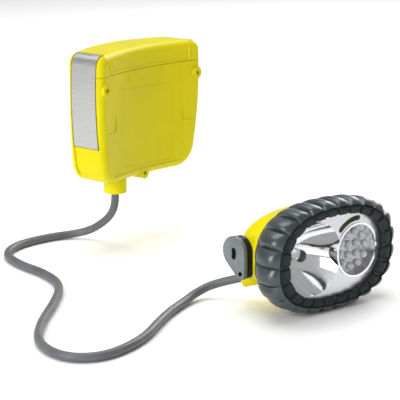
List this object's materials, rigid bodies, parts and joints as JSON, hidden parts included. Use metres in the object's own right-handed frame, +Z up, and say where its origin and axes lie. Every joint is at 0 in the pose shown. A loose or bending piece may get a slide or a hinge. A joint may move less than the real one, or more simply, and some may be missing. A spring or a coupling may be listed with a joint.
{
  "type": "cap lamp with belt battery pack",
  "caption": "Cap lamp: oval lamp head with halogen bulb and LED reflector, joined by a round cord to a curved belt battery pack with steel side latches.",
  "frame": {"origin": "mouth of the screw hole in the pack's bottom lug, on the wearer side", "axes": "+Z up, -Y out of the lug holes towards the wearer, +X along the pack's width; the lamp head and cord lie on a surface 53 mm below the origin"},
  "size_m": [0.3003, 0.2803, 0.148],
  "materials": {
    "yellow_shell": "glossy moulded ABS",
    "black_rubber": "satin grip rubber",
    "grey_plastic": "satin",
    "clear_lens": "clear polycarbonate",
    "seal_rubber": "matte",
    "latch_steel": "brushed stainless",
    "silvered": "metallised mirror finish",
    "led_epoxy": "clear epoxy",
    "bulb_glass": "clear glass",
    "cell_sleeve": "printed sleeve, plain",
    "carrier_plastic": "matte",
    "contact_metal": "nickel plated",
    "circuit_board": "solder mask",
    "screw_steel": "plain",
    "cord_jacket": "satin jacket",
    "wire_jacket": "plain insulation"
  },
  "bodies": {
    "pack": {"pack_body": "yellow_shell", "screw_lug_bottom": "yellow_shell", "screw_lug_left": "yellow_shell", "screw_lug_right": "yellow_shell", "cord_collar": "yellow_shell", "latch_pin_left": "latch_steel", "latch_pin_right": "latch_steel", "cell_1": "cell_sleeve", "cell_2": "cell_sleeve", "cell_3": "cell_sleeve", "cell_4": "cell_sleeve", "contact_carrier_low": "carrier_plastic", "contact_springs": "contact_metal", "pack_grommet": "seal_rubber", "cord_clamp": "carrier_plastic", "clamp_screws": "screw_steel", "cord_tail_pack": "cord_jacket", "pack_wires": "wire_jacket", "cord": "cord_jacket", "cord_tail_head": "cord_jacket", "head_grommet": "seal_rubber", "head_housing": "yellow_shell", "reflector": "silvered", "led_cup": "silvered", "leds": "led_epoxy", "led_board": "circuit_board", "halogen_bulb": "bulb_glass", "bulb_socket": "carrier_plastic", "lamp_chassis": "carrier_plastic", "pivot_washer": "screw_steel", "pivot_screw": "screw_steel"},
    "lid": {"pack_lid": "yellow_shell", "lid_gasket": "seal_rubber", "contact_carrier_top": "carrier_plastic", "contact_strips": "contact_metal"},
    "latch_left": {"latch_left": "latch_steel"},
    "latch_right": {"latch_right": "latch_steel"},
    "front": {"bezel": "black_rubber", "front_lens": "clear_lens", "lens_seal": "seal_rubber"},
    "ear_left": {"ear_left": "grey_plastic", "ear_block_left": "black_rubber"},
    "ear_right": {"ear_right": "grey_plastic", "ear_block_right": "black_rubber"},
    "switch": {"switch_knob": "black_rubber", "switch_shaft": "screw_steel", "switch_oring": "seal_rubber", "switch_rotor": "carrier_plastic"}
  },
  "joints": [
    {"name": "lid_lift", "type": "slide", "parent": "pack", "child": "lid", "axis": [0, 0, 1], "range_m": [0, 0.015]},
    {"name": "latch_left_swing", "type": "hinge", "parent": "pack", "child": "latch_left", "pos_m": [-0.05471, 0.009, 0.0278], "axis": [0, -1, 0], "range_deg": [0, 95.5]},
    {"name": "latch_right_swing", "type": "hinge", "parent": "pack", "child": "latch_right", "pos_m": [0.05471, 0.009, 0.0278], "axis": [0, 1, 0], "range_deg": [0, 95.5]},
    {"name": "bezel_pull", "type": "slide", "parent": "pack", "child": "front", "axis": [-0.2147, -0.9767, 0], "range_m": [0, 0.03]},
    {"name": "ear_left_tilt", "type": "hinge", "parent": "pack", "child": "ear_left", "pos_m": [-0.08886, -0.14943, -0.0148], "axis": [0.9767, -0.2147, 0], "range_deg": [-15, 45]},
    {"name": "ear_right_tilt", "type": "hinge", "parent": "pack", "child": "ear_right", "pos_m": [-0.00096, -0.16876, -0.0148], "axis": [0.9767, -0.2147, 0], "range_deg": [-15, 45]},
    {"name": "switch_turn", "type": "hinge", "parent": "pack", "child": "switch", "pos_m": [0.00393, -0.16983, -0.0148], "axis": [0.9767, -0.2147, 0], "range_deg": [-60, 60]}
  ],
  "couplings": [
    {"joint": "latch_left_swing", "follows": "lid_lift", "rad_per_m": 110.54},
    {"joint": "latch_right_swing", "follows": "lid_lift", "rad_per_m": 110.54},
    {"joint": "ear_right_tilt", "follows": "ear_left_tilt", "ratio": 1}
  ]
}
